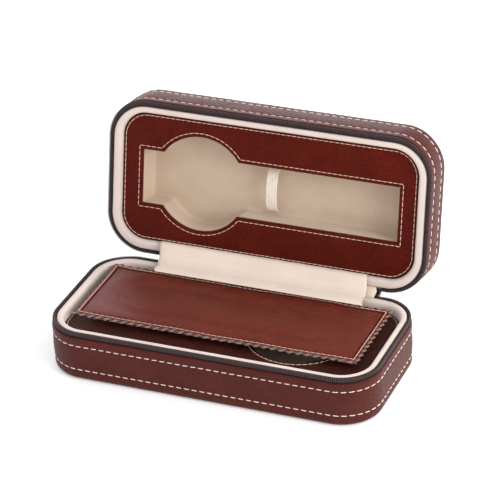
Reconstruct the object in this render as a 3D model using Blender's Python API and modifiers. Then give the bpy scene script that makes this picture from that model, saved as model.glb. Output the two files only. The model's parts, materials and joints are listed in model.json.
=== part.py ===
"""Zip-around travel case for two watches: a base tray, a lid that opens on a fabric spine, and a loose padded flap.

Metres, +Z up. The origin is the middle of the base's underside, +X runs along the case and +Y towards its spine.
Both halves are modelled from the plane where their rims meet: depth is measured from that plane into the half.
"""

import math

import bmesh
import bpy
from mathutils import Matrix, Vector

# Outer case
LENGTH = 0.212
WIDTH = 0.100
CORNER_RADIUS = 0.025
CORNER_STEPS = 7
BASE_HEIGHT = 0.0334
LID_HEIGHT = 0.0305
FOOT_RADIUS = 0.004
OPEN_ANGLE = math.radians(101.7)
HINGE_OUT = 0.001
GAP = 0.0003

# Layers, from the outside in
LEATHER = 0.0012
BOARD = 0.0010
BASE_LEATHER_TOP = 0.0036
LID_LEATHER_TOP = 0.0022
BOARD_BELOW_LEATHER = 0.0004
LEDGE_OUTER = LEATHER + BOARD + 2 * GAP
BASE_LEDGE_INNER = 0.0071
LID_LEDGE_INNER = 0.0082
LEDGE_TOP = 0.0007
LEDGE_ROUNDING = 0.0012

# Zipper: a tape and a row of teeth on each rim, with both ends at the spine
ZIP_LEFT = -0.0645
ZIP_RIGHT = 0.0770
ZIP_OUTER = 0.0001
ZIP_INNER = LEDGE_OUTER - 0.0004
TAPE_TOP = 0.0011
TEETH_DEPTHS = (0.00015, 0.0008)
TEETH_SETBACK = 0.0002

# Insert panels and wells
PANEL_LEATHER = 0.0014
PANEL_BOARD = 0.0012
LID_PANEL_DEPTH = 0.0035
BASE_PANEL_DEPTH = 0.0068
WELL_DEPTH = 0.0185
CIRCLE_RADIUS = 0.0305
CIRCLE_X = 0.045
SLOT_HALF = 0.0175
SLOT_NEAR = 0.084
SLOT_FAR = 0.0855
LINER = 0.0008
LOOP_X = (-0.004, 0.0034)
LOOP_SPAN = 0.0146
LOOP_RISE = 0.0102
LOOP_THICKNESS = 0.0008
LOOP_STEPS = 12
LOOP_FULLNESS = 0.6
PANEL_EDGE = 0.0004
CUTTER_OVERRUN = 0.002

# Spine and hinge lining
SPINE_X = (-0.0638, 0.070)
SPINE_LEATHER = 0.0009
SPINE_STANDOFF = 0.0005
SPINE_LINING_X = (-0.0638, 0.076)
SPINE_LINING = 0.0006
HINGE_LINING_X = (-0.069, 0.069)
HINGE_LINING = 0.0007

# Padded flap
FLAP_LEFT = -0.0945
FLAP_RIGHT = 0.0905
FLAP_FRONT = -0.0262
FLAP_REAR = 0.0384
FLAP_AXIS = Vector((0.0, 0.0395, 0.0308))
FLAP_CLEARANCE = 0.0006
FLAP_SKIN = 0.0006
PINK_PITCH = 0.0054
PINK_DEPTH = 0.0018
FLAP_TOP_MARGIN = 0.0312
FLAP_CROWN = 0.0336
FLAP_UNDER_MARGIN = 0.0302
FLAP_BELLY = 0.0271
FLAP_SWELL_INSETS = (0.0038, 0.006, 0.010, 0.016, 0.024)
FLAP_CORE_INSET = 0.0165
FLAP_CORE_ROUNDING = 0.0014

# Slider and pull tab, parked behind the right end of the spine
SLIDER_X = (0.0708, 0.0772)
SLIDER_Y = (0.0505, 0.0542)
SLIDER_Z = (0.0288, 0.0328)
SLIDER_ROUNDING = 0.0008
PULL_AXIS = Vector((0.0740, 0.0562, 0.0308))
PIN_RADIUS = 0.0005
LUG_THICKNESS = 0.0008
LUG_REACH = 0.001
EYE_RADIUS = 0.0015
PULL_WIDTH = 0.0032
PULL_LENGTH = 0.0200
PULL_THICKNESS = 0.0012

HINGE_AXIS = Vector((0.0, WIDTH / 2 + HINGE_OUT, BASE_HEIGHT))


def new_collection(name, hidden=False):
    collection = bpy.data.collections.new(name)
    collection.hide_render = hidden
    bpy.context.scene.collection.children.link(collection)
    return collection


def material(name, colour, roughness, metallic=0.0):
    made = bpy.data.materials.new(name)
    made.use_nodes = True
    shader = made.node_tree.nodes["Principled BSDF"]
    shader.inputs["Base Color"].default_value = (*colour, 1.0)
    shader.inputs["Roughness"].default_value = roughness
    shader.inputs["Metallic"].default_value = metallic
    made.diffuse_color = (*colour, 1.0)
    return made


def link(name, mesh, finish, parent=None):
    """Puts a mesh in the case's collection, with its material and parent."""
    made = bpy.data.objects.new(name, mesh)
    CASE.objects.link(made)
    made.data.materials.append(finish)
    made.parent = parent
    return made


def arc(centre_x, centre_y, radius, start, end, steps):
    turn = (end - start) / steps
    return [
        (centre_x + radius * math.cos(start + turn * n), centre_y + radius * math.sin(start + turn * n))
        for n in range(steps + 1)
    ]


def rim_outline(inset, steps=CORNER_STEPS):
    """The case's outline moved in by inset, counterclockwise from the right side's rear corner."""
    half_x = LENGTH / 2 - CORNER_RADIUS
    half_y = WIDTH / 2 - CORNER_RADIUS
    quarter = math.pi / 2
    outline = []
    for turn, (side_x, side_y) in enumerate(((1, 1), (-1, 1), (-1, -1), (1, -1))):
        start = turn * quarter
        radius = CORNER_RADIUS - inset
        outline += arc(side_x * half_x, side_y * half_y, radius, start, start + quarter, steps)
    return outline


def rim_path(inset):
    """The open path that the zipper takes round the rim, from one end of the spine to the other."""
    outline = rim_outline(inset)
    rear = WIDTH / 2 - inset
    corner = CORNER_STEPS + 1
    return [(ZIP_LEFT, rear), *outline[corner:], *outline[:corner], (ZIP_RIGHT, rear)]


def keyhole(side, grow, steps=20):
    """A round window joined to a long slot, with the window on the side given, moved out by grow."""
    half = SLOT_HALF + grow
    radius = CIRCLE_RADIUS + grow
    meet = math.asin(half / radius)
    outline = [(SLOT_FAR + grow, -half), (SLOT_FAR + grow, half)]
    outline += arc(-CIRCLE_X, 0, radius, meet, math.pi - meet, steps)
    outline += [(-SLOT_NEAR - grow, half), (-SLOT_NEAR - grow, -half)]
    outline += arc(-CIRCLE_X, 0, radius, math.pi + meet, 2 * math.pi - meet, steps)
    if side < 0:
        return outline
    return [(-x, y) for x, y in reversed(outline)]


def flat_mesh(loops, low, high):
    """A plate between two heights: a filled 2D curve, its first loop the outline and the others holes."""
    curve = bpy.data.curves.new("outline", "CURVE")
    curve.dimensions = "2D"
    curve.fill_mode = "BOTH"
    curve.extrude = (high - low) / 2
    for loop in loops:
        spline = curve.splines.new("POLY")
        spline.points.add(len(loop) - 1)
        for point, (x, y) in zip(spline.points, loop):
            point.co = (x, y, 0, 1)
        spline.use_cyclic_u = True
    return mesh_of_curve(curve, Matrix.Translation((0, 0, (low + high) / 2)))


def mesh_of_curve(curve, placed):
    """The closed mesh that a curve makes, with the curve removed."""
    guide = bpy.data.objects.new("guide", curve)
    bpy.context.scene.collection.objects.link(guide)
    evaluated = guide.evaluated_get(bpy.context.evaluated_depsgraph_get())
    mesh = bpy.data.meshes.new_from_object(evaluated)
    work = bmesh.new()
    work.from_mesh(mesh)
    bmesh.ops.remove_doubles(work, verts=work.verts, dist=1e-6)
    work.transform(placed)
    bmesh.ops.recalc_face_normals(work, faces=work.faces)
    work.to_mesh(mesh)
    work.free()
    mesh.materials.clear()
    bpy.data.objects.remove(guide)
    bpy.data.curves.remove(curve)
    return mesh


def swept_mesh(path, closed, width, low, high):
    """A rectangular bar that follows a flat path, between two heights."""
    section = bpy.data.curves.new("section", "CURVE")
    section.dimensions = "2D"
    spline = section.splines.new("POLY")
    spline.points.add(3)
    half_height = (high - low) / 2
    corners = ((-1, -1), (1, -1), (1, 1), (-1, 1))
    for point, (x, y) in zip(spline.points, corners):
        point.co = (x * width / 2, y * half_height, 0, 1)
    spline.use_cyclic_u = True
    section_object = bpy.data.objects.new("section", section)
    bpy.context.scene.collection.objects.link(section_object)
    curve = bpy.data.curves.new("path", "CURVE")
    curve.dimensions = "2D"
    curve.fill_mode = "BOTH"
    curve.bevel_mode = "OBJECT"
    curve.bevel_object = section_object
    curve.use_fill_caps = not closed
    spline = curve.splines.new("POLY")
    spline.points.add(len(path) - 1)
    for point, (x, y) in zip(spline.points, path):
        point.co = (x, y, 0, 1)
    spline.use_cyclic_u = closed
    mesh = mesh_of_curve(curve, Matrix.Translation((0, 0, (low + high) / 2)))
    bpy.data.objects.remove(section_object)
    bpy.data.curves.remove(section)
    return mesh


def prism_mesh(outline, low, high):
    """A plate with no hole, between two heights."""
    work = bmesh.new()
    base = work.faces.new([work.verts.new((x, y, low)) for x, y in outline])
    raised = bmesh.ops.extrude_face_region(work, geom=[base])["geom"]
    top = [part for part in raised if isinstance(part, bmesh.types.BMVert)]
    bmesh.ops.translate(work, verts=top, vec=(0, 0, high - low))
    bmesh.ops.recalc_face_normals(work, faces=work.faces)
    mesh = bpy.data.meshes.new("plate")
    work.to_mesh(mesh)
    work.free()
    return mesh


def tray_mesh(outline, opening, floor):
    """An open tray: a floor with walls up to the opening, its faces turned outwards."""
    work = bmesh.new()
    base = work.faces.new([work.verts.new((x, y, floor)) for x, y in outline])
    walls = bmesh.ops.extrude_edge_only(work, edges=base.edges[:])["geom"]
    rim = [part for part in walls if isinstance(part, bmesh.types.BMVert)]
    bmesh.ops.translate(work, verts=rim, vec=(0, 0, opening - floor))
    bmesh.ops.recalc_face_normals(work, faces=work.faces)
    if base.normal.z * (floor - opening) < 0:
        bmesh.ops.reverse_faces(work, faces=work.faces)
    mesh = bpy.data.meshes.new("tray")
    work.to_mesh(mesh)
    work.free()
    return mesh


def ribbon_mesh(profile, low_x, high_x):
    """A strip of fabric: a profile in Y and Z drawn out along X."""
    work = bmesh.new()
    points = [work.verts.new((low_x, y, z)) for y, z in profile]
    edges = [work.edges.new(pair) for pair in zip(points, points[1:])]
    strip = bmesh.ops.extrude_edge_only(work, edges=edges)["geom"]
    far = [part for part in strip if isinstance(part, bmesh.types.BMVert)]
    bmesh.ops.translate(work, verts=far, vec=(high_x - low_x, 0, 0))
    bmesh.ops.recalc_face_normals(work, faces=work.faces)
    mesh = bpy.data.meshes.new("strip")
    work.to_mesh(mesh)
    work.free()
    return mesh


def thicken(made, thickness, offset):
    modifier = made.modifiers.new("thickness", "SOLIDIFY")
    modifier.thickness = thickness
    modifier.offset = offset
    modifier.use_even_offset = True
    return made


def round_edges(made, width, segments, angle=math.radians(40)):
    modifier = made.modifiers.new("rounded", "BEVEL")
    modifier.limit_method = "ANGLE"
    modifier.angle_limit = angle
    modifier.width = width
    modifier.segments = segments
    return made


def subtract(made, cutter_mesh, name):
    """Takes a hidden cutter out of a part."""
    cutter = bpy.data.objects.new(name, cutter_mesh)
    CUTTERS.objects.link(cutter)
    cutter.hide_render = True
    cutter.display_type = "WIRE"
    cutter.parent = made.parent
    cutter.location = made.location
    modifier = made.modifiers.new(name, "BOOLEAN")
    modifier.operation = "DIFFERENCE"
    modifier.solver = "EXACT"
    modifier.object = cutter
    return made


class Half:
    """One half of the case. Its local Z is 0 on the rim plane, and the half lies on the side that up gives."""

    def __init__(self, name, up, height, leather_top, ledge_inner, panel_depth, window_side, parent, location):
        self.name = name
        self.up = up
        self.height = height
        self.leather_top = leather_top
        self.ledge_inner = ledge_inner
        self.panel_inset = ledge_inner + GAP
        self.panel_depth = panel_depth
        self.window_side = window_side
        self.parent = parent
        self.location = location
        self.foam_top = panel_depth + PANEL_LEATHER + PANEL_BOARD + 2 * GAP
        self.foam_bottom = height - LEATHER - BOARD - 3 * GAP
        self.well_floor = panel_depth + WELL_DEPTH

    def span(self, shallow, deep):
        """The lowest and highest local Z of a layer between two depths."""
        return sorted((self.up * shallow, self.up * deep))

    def add(self, name, mesh, finish):
        made = link(f"{self.name}_{name}", mesh, finish, self.parent)
        made.location = self.location
        return made

    def build(self):
        self.leather_cover()
        self.board_tray()
        self.foam_block()
        self.well_liner()
        self.insert_board()
        self.insert_leather()
        self.rim_lining()
        self.zipper()
        self.watch_loop()

    def leather_cover(self):
        mesh = tray_mesh(rim_outline(0), self.up * self.leather_top, self.up * self.height)
        made = self.add("leather_cover", mesh, BROWN_LEATHER)
        round_edges(made, FOOT_RADIUS, 4)
        thicken(made, LEATHER, -1)

    def board_tray(self):
        inset = LEATHER + GAP
        top = self.leather_top + BOARD_BELOW_LEATHER
        mesh = tray_mesh(rim_outline(inset), self.up * top, self.up * (self.height - inset))
        made = self.add("board_tray", mesh, GREY_BOARD)
        round_edges(made, FOOT_RADIUS - inset, 4)
        thicken(made, BOARD, -1)

    def foam_block(self):
        outline = rim_outline(LEDGE_OUTER + GAP)
        mesh = prism_mesh(outline, *self.span(self.foam_top + GAP, self.foam_bottom))
        made = self.add("foam_block", mesh, FOAM)
        pocket = keyhole(self.window_side, LINER + 3 * GAP)
        depths = self.span(self.foam_top - CUTTER_OVERRUN, self.well_floor + LINER + GAP)
        subtract(made, prism_mesh(pocket, *depths), f"{self.name}_well_cutter")

    def well_liner(self):
        outline = keyhole(self.window_side, LINER + 2 * GAP)
        top = self.up * (self.foam_top + GAP)
        mesh = tray_mesh(outline, top, self.up * (self.well_floor + LINER))
        thicken(self.add("well_liner", mesh, CREAM_VELVET), LINER, -1)

    def insert_board(self):
        loops = [rim_outline(self.panel_inset), keyhole(self.window_side, GAP)]
        top = self.panel_depth + PANEL_LEATHER + GAP
        self.add("insert_board", flat_mesh(loops, *self.span(top, top + PANEL_BOARD)), GREY_BOARD)

    def insert_leather(self):
        loops = [rim_outline(self.panel_inset), keyhole(self.window_side, 0)]
        depths = self.span(self.panel_depth, self.panel_depth + PANEL_LEATHER)
        made = self.add("insert_leather", flat_mesh(loops, *depths), RED_LEATHER)
        round_edges(made, PANEL_EDGE, 2, math.radians(60))

    def rim_lining(self):
        middle = (LEDGE_OUTER + self.ledge_inner) / 2
        width = self.ledge_inner - LEDGE_OUTER
        depths = self.span(LEDGE_TOP, self.foam_top)
        mesh = swept_mesh(rim_outline(middle), True, width, *depths)
        round_edges(self.add("rim_lining", mesh, CREAM_FABRIC), LEDGE_ROUNDING, 3)

    def zipper(self):
        path = rim_path((ZIP_OUTER + ZIP_INNER) / 2)
        width = ZIP_INNER - ZIP_OUTER
        tape = swept_mesh(path, False, width, *self.span(TAPE_TOP, self.leather_top - GAP))
        self.add("zipper_tape", tape, TAPE_CLOTH)
        teeth = swept_mesh(path, False, width - 2 * TEETH_SETBACK, *self.span(*TEETH_DEPTHS))
        self.add("zipper_teeth", teeth, TEETH_NYLON)

    def watch_loop(self):
        foot = self.well_floor - GAP - LOOP_THICKNESS / 2
        profile = []
        for n in range(LOOP_STEPS + 1):
            turn = math.pi * n / LOOP_STEPS
            rise = LOOP_RISE * math.sin(turn) ** LOOP_FULLNESS
            profile.append((-LOOP_SPAN * math.cos(turn), self.up * (foot - rise)))
        low_x, high_x = (LOOP_X if self.window_side < 0 else (-LOOP_X[1], -LOOP_X[0]))
        made = self.add("watch_loop", ribbon_mesh(profile, low_x, high_x), CREAM_FABRIC)
        thicken(made, LOOP_THICKNESS, 0)


def lid_point(inset, depth):
    """World Y and Z of a point in the open lid, inset from its rear face and sunk from its rim plane."""
    along = HINGE_OUT + inset
    cosine = math.cos(OPEN_ANGLE)
    sine = math.sin(OPEN_ANGLE)
    return (
        HINGE_AXIS.y - along * cosine + depth * sine,
        HINGE_AXIS.z + along * sine + depth * cosine,
    )


def smooth(points, steps=5):
    """Points along a Catmull-Rom curve through the points given."""
    ends = [Vector(p) for p in points]
    ends = [2 * ends[0] - ends[1], *ends, 2 * ends[-1] - ends[-2]]
    curve = []
    for a, b, c, d in zip(ends, ends[1:], ends[2:], ends[3:]):
        for n in range(steps):
            t = n / steps
            curve.append(
                0.5 * (2 * b + (c - a) * t + (2 * a - 5 * b + 4 * c - d) * t**2 + (3 * b - a - 3 * c + d) * t**3)
            )
    curve.append(ends[-2])
    return [(p.x, p.y) for p in curve]


def spine():
    """The strip of leather that joins the two halves behind, and its lining."""
    rear = WIDTH / 2 + GAP + SPINE_STANDOFF
    leather = [
        (rear, 0.0250),
        (rear, 0.0300),
        (rear + 0.0001, 0.0318),
        (rear + 0.0007, 0.0329),
        lid_point(-0.0008, 0.0018),
        lid_point(-0.0008, 0.0042),
        lid_point(-0.0008, 0.0088),
    ]
    mesh = ribbon_mesh(smooth(leather, 4), *SPINE_X)
    thicken(link("spine_leather", mesh, BROWN_LEATHER), SPINE_LEATHER, 0)
    lining = [
        (0.0477, 0.0312),
        (0.0479, 0.0328),
        (0.0488, 0.0341),
        (0.0500, 0.0350),
        (0.0511, 0.0356),
        lid_point(0.0018, 0.0006),
        lid_point(0.0023, 0.0018),
    ]
    mesh = ribbon_mesh(smooth(lining, 3), *SPINE_LINING_X)
    thicken(link("spine_lining", mesh, CREAM_VELVET), SPINE_LINING, 0)


def hinge_lining():
    """The curtain of lining that hangs from the lid's panel over both ledges and onto the flap."""
    profile = [
        lid_point(0.0090, 0.0030),
        lid_point(0.0089, 0.0008),
        lid_point(0.0082, -0.0006),
        (0.0508, 0.0412),
        (0.0491, 0.0388),
        (0.0474, 0.0367),
        (0.0441, 0.0352),
        (0.0400, 0.0347),
        (0.0368, 0.0346),
        (0.0345, 0.0343),
    ]
    mesh = ribbon_mesh(smooth(profile, 3), *HINGE_LINING_X)
    thicken(link("hinge_lining", mesh, CREAM_VELVET), HINGE_LINING, 0)


def pinked_outline():
    """The flap's outline, cut with pinking shears, counterclockwise from its front left corner."""
    corners = [
        Vector((FLAP_LEFT, FLAP_FRONT)),
        Vector((FLAP_RIGHT, FLAP_FRONT)),
        Vector((FLAP_RIGHT, FLAP_REAR)),
        Vector((FLAP_LEFT, FLAP_REAR)),
    ]
    outline = []
    for start, end in zip(corners, corners[1:] + corners[:1]):
        side = end - start
        teeth = round(side.length / PINK_PITCH)
        inward = Vector((-side.y, side.x)).normalized() * PINK_DEPTH
        for n in range(teeth):
            outline.append(inside_ledge(start + side * (n / teeth)))
            outline.append(inside_ledge(start + side * ((n + 0.5) / teeth) + inward))
    return outline


def inside_ledge(point):
    """The point itself or, where a corner of the flap would meet the rounded ledge, the nearest free one."""
    reach = CORNER_RADIUS - BASE_LEDGE_INNER - FLAP_CLEARANCE
    bend = Vector((LENGTH / 2 - CORNER_RADIUS, WIDTH / 2 - CORNER_RADIUS))
    centre = Vector((math.copysign(bend.x, point.x), math.copysign(bend.y, point.y)))
    outward = point - centre
    in_corner = abs(point.x) > bend.x and abs(point.y) > bend.y
    if not in_corner or outward.length <= reach:
        return point
    return centre + outward.normalized() * reach


def flap_skin(name, heights, finish):
    """One leather face of the flap: a flat pinked margin that swells to a crown inside the stitching."""
    margin = pinked_outline()
    middle = Vector(((FLAP_LEFT + FLAP_RIGHT) / 2, (FLAP_FRONT + FLAP_REAR) / 2))
    half = Vector(((FLAP_RIGHT - FLAP_LEFT) / 2, (FLAP_REAR - FLAP_FRONT) / 2))
    work = bmesh.new()
    rings = []
    insets = (0.0, *FLAP_SWELL_INSETS)
    for step, inset in enumerate(insets):
        swell = math.sin(math.pi / 2 * max(0.0, step - 1) / (len(insets) - 2))
        height = heights[0] + (heights[1] - heights[0]) * swell
        ring = []
        for point in margin:
            if step:
                offset = point - middle
                limit = half - Vector((inset, inset))
                offset.x = max(-limit.x, min(limit.x, offset.x))
                offset.y = max(-limit.y, min(limit.y, offset.y))
                point = middle + offset
            ring.append(work.verts.new((point.x - FLAP_AXIS.x, point.y - FLAP_AXIS.y, height - FLAP_AXIS.z)))
        rings.append(ring)
    for outer, inner in zip(rings, rings[1:]):
        for n in range(len(outer)):
            after = (n + 1) % len(outer)
            work.faces.new((outer[n], outer[after], inner[after], inner[n]))
    work.faces.new(rings[-1])
    bmesh.ops.remove_doubles(work, verts=work.verts, dist=1e-6)
    bmesh.ops.dissolve_degenerate(work, edges=work.edges, dist=1e-6)
    bmesh.ops.triangulate(work, faces=[face for face in work.faces if len(face.verts) > 4])
    bmesh.ops.recalc_face_normals(work, faces=work.faces)
    mesh = bpy.data.meshes.new(name)
    work.to_mesh(mesh)
    work.free()
    made = link(name, mesh, finish, FLAP_HINGE)
    return thicken(made, FLAP_SKIN, 0)


def flap():
    """The padded flap: two leather faces, pinked at the edges, round a foam core."""
    flap_skin("divider_top_leather", (FLAP_TOP_MARGIN, FLAP_CROWN), BROWN_LEATHER)
    flap_skin("divider_under_leather", (FLAP_UNDER_MARGIN, FLAP_BELLY), RED_LEATHER)
    low = Vector((FLAP_LEFT + FLAP_CORE_INSET, FLAP_FRONT + FLAP_CORE_INSET, FLAP_BELLY + FLAP_SKIN / 2 + GAP))
    high = Vector((FLAP_RIGHT - FLAP_CORE_INSET, FLAP_REAR - FLAP_CORE_INSET, FLAP_CROWN - FLAP_SKIN / 2 - GAP))
    core = link("divider_foam", cube_mesh(low - FLAP_AXIS, high - FLAP_AXIS), FOAM, FLAP_HINGE)
    round_edges(core, FLAP_CORE_ROUNDING, 2)


def zip_slider():
    """The slider's body, with two lugs and a pin for its pull tab, built as one casting."""
    low = Vector((SLIDER_X[0], SLIDER_Y[0], SLIDER_Z[0]))
    high = Vector((SLIDER_X[1], SLIDER_Y[1], SLIDER_Z[1]))
    made = link("zip_slider", cube_mesh(low, high), DARK_METAL)
    round_edges(made, SLIDER_ROUNDING, 3)
    for n, side in enumerate((-1, 1)):
        lug_x = PULL_AXIS.x + side * (PULL_WIDTH / 2 + GAP + LUG_THICKNESS / 2)
        low = Vector((lug_x - LUG_THICKNESS / 2, SLIDER_Y[1] - LUG_REACH, PULL_AXIS.z - LUG_REACH))
        high = Vector((lug_x + LUG_THICKNESS / 2, PULL_AXIS.y + LUG_REACH, PULL_AXIS.z + LUG_REACH))
        join(made, cube_mesh(low, high), f"lug_{n}")
    join(made, rod_mesh(PULL_AXIS, PIN_RADIUS, PULL_WIDTH + 2 * GAP + LUG_THICKNESS), "pin")


def cube_mesh(low, high):
    work = bmesh.new()
    placed = Matrix.Translation((low + high) / 2) @ Matrix.Diagonal((*(high - low), 1.0))
    bmesh.ops.create_cube(work, size=1, matrix=placed)
    mesh = bpy.data.meshes.new("block")
    work.to_mesh(mesh)
    work.free()
    return mesh


def rod_mesh(centre, radius, length, segments=16):
    """A rod along X."""
    work = bmesh.new()
    placed = Matrix.Translation(centre) @ Matrix.Rotation(math.pi / 2, 4, "Y")
    bmesh.ops.create_cone(
        work, cap_ends=True, segments=segments, radius1=radius, radius2=radius, depth=length, matrix=placed
    )
    mesh = bpy.data.meshes.new("rod")
    work.to_mesh(mesh)
    work.free()
    return mesh


def join(made, mesh, name):
    """Adds a shape to a part, so that both are one solid."""
    other = bpy.data.objects.new(f"{made.name}_{name}", mesh)
    CUTTERS.objects.link(other)
    other.hide_render = True
    other.display_type = "WIRE"
    modifier = made.modifiers.new(name, "BOOLEAN")
    modifier.operation = "UNION"
    modifier.solver = "EXACT"
    modifier.object = other


def pull_tab():
    """The tab that hangs from the slider's pin: an eye round the pin above a long flat tab."""
    eye = rod_mesh(Vector((0, 0, 0)), EYE_RADIUS, PULL_WIDTH, 24)
    made = link("zip_pull", eye, DARK_METAL, PULL_HINGE)
    low = Vector((-PULL_WIDTH / 2, -PULL_THICKNESS / 2, -PULL_LENGTH))
    high = Vector((PULL_WIDTH / 2, PULL_THICKNESS / 2, -EYE_RADIUS / 2))
    blade = bpy.data.objects.new("zip_pull_blade", cube_mesh(low, high))
    bore = bpy.data.objects.new("zip_pull_bore", rod_mesh(Vector(), PIN_RADIUS + GAP, PULL_WIDTH * 2, 16))
    for helper, operation in ((blade, "UNION"), (bore, "DIFFERENCE")):
        CUTTERS.objects.link(helper)
        helper.parent = PULL_HINGE
        helper.hide_render = True
        helper.display_type = "WIRE"
        modifier = made.modifiers.new(helper.name, "BOOLEAN")
        modifier.operation = operation
        modifier.solver = "EXACT"
        modifier.object = helper


def pivot(name, location, angle=0.0, parent=None):
    made = bpy.data.objects.new(name, None)
    made.location = location
    made.rotation_euler = (angle, 0, 0)
    made.parent = parent
    CASE.objects.link(made)
    return made


for old in list(bpy.data.objects):
    bpy.data.objects.remove(old, do_unlink=True)

CASE = new_collection("watch_travel_case")
CUTTERS = new_collection("cutters", hidden=True)

BROWN_LEATHER = material("brown_leather", (0.150, 0.045, 0.030), 0.38)
RED_LEATHER = material("red_brown_leather", (0.110, 0.015, 0.007), 0.30)
CREAM_VELVET = material("cream_velvet", (0.760, 0.640, 0.540), 0.95)
CREAM_FABRIC = material("cream_fabric", (0.800, 0.700, 0.620), 0.85)
TAPE_CLOTH = material("zipper_tape_cloth", (0.060, 0.020, 0.022), 0.75)
TEETH_NYLON = material("zipper_teeth_nylon", (0.060, 0.048, 0.042), 0.50)
GREY_BOARD = material("grey_board", (0.300, 0.280, 0.250), 0.90)
FOAM = material("foam", (0.700, 0.680, 0.620), 0.95)
DARK_METAL = material("dark_metal", (0.120, 0.110, 0.100), 0.35, 1.0)

LID_HINGE = pivot("lid_hinge", HINGE_AXIS, -OPEN_ANGLE)
FLAP_HINGE = pivot("divider_lift", FLAP_AXIS)
PULL_HINGE = pivot("pull_swing", PULL_AXIS)

Half(
    "base", -1, BASE_HEIGHT, BASE_LEATHER_TOP, BASE_LEDGE_INNER, BASE_PANEL_DEPTH, 1, None, (0, 0, BASE_HEIGHT)
).build()
Half(
    "lid", 1, LID_HEIGHT, LID_LEATHER_TOP, LID_LEDGE_INNER, LID_PANEL_DEPTH, -1, LID_HINGE, (0, -HINGE_AXIS.y, 0)
).build()
spine()
hinge_lining()
flap()
zip_slider()
pull_tab()
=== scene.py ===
"""Zip-around leather travel case for two watches, open, with its padded flap lying over the base's well.

Lengths are in metres. Each half is modelled in its own coordinates: X along the case, Y towards the spine,
and depth measured from the plane of its rim into the half. Half.matrix takes those to the row frame.
"""
import math

import bmesh
import bpy
import numpy as np
from mathutils import Matrix, Vector, noise
from mathutils.geometry import delaunay_2d_cdt
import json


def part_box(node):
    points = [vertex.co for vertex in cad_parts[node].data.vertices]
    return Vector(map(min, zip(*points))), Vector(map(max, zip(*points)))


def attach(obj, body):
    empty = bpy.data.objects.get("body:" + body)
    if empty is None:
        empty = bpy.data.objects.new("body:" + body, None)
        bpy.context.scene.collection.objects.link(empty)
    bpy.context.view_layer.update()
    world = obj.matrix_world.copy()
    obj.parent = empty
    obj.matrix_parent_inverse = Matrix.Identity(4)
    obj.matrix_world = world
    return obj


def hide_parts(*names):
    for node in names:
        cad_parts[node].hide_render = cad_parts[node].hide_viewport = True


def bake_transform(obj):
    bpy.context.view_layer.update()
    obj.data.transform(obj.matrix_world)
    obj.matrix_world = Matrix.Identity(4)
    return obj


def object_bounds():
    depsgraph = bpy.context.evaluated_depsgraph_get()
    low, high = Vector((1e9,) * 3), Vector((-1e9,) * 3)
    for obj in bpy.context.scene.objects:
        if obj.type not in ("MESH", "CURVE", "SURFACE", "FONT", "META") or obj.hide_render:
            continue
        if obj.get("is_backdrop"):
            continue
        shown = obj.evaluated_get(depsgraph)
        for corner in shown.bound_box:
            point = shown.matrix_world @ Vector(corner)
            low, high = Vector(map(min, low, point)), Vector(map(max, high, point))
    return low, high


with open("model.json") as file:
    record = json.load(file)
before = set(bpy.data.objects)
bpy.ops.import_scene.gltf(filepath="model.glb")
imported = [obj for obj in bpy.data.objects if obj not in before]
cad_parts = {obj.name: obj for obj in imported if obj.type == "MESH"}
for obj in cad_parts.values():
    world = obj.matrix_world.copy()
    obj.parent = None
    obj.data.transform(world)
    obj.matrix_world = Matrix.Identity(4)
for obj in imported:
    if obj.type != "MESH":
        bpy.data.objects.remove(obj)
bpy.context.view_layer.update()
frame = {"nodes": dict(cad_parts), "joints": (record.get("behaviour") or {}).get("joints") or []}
MM = 0.001
JOINTS = {joint["name"]: joint for joint in frame["joints"]}

# Case
CASE_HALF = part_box("base_leather_cover")[1][:2]
CORNER_RADIUS = 25 * MM
FOOT_RADIUS = 4 * MM
COVER_THICKNESS = 1.1 * MM
LID_CROWN = 0.7 * MM
LID_FRONT_SWELL = 1.2 * MM
STITCH_ROWS = {"base": (9.4 * MM, 25.8 * MM), "lid": (8.2 * MM, 21.4 * MM)}
WALL_PITCH = 5.0 * MM
WALL_STITCH = 3.9 * MM
PANEL_PITCH = 3.5 * MM
PANEL_STITCH = 3.15 * MM
KEYHOLE_STITCH = 2.4 * MM
RIM_STITCH = 1.6 * MM
THREAD_RADIUS = 0.27 * MM
TEETH_PITCH = 1.25 * MM
LID_ZIP_LEAN = 1.3 * MM
LID_ZIP_FLARE = 0.9 * MM
PANEL_THICKNESS = 1.4 * MM
LINER_THICKNESS = 0.8 * MM

# Well, seen from its own half
CIRCLE_RADIUS = 30.5 * MM
CIRCLE_X = 45 * MM
SLOT_HALF = 17.5 * MM
SLOT_NEAR = 84 * MM
SLOT_FAR = 85.5 * MM


# ---------------------------------------------------------------- materials


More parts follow.
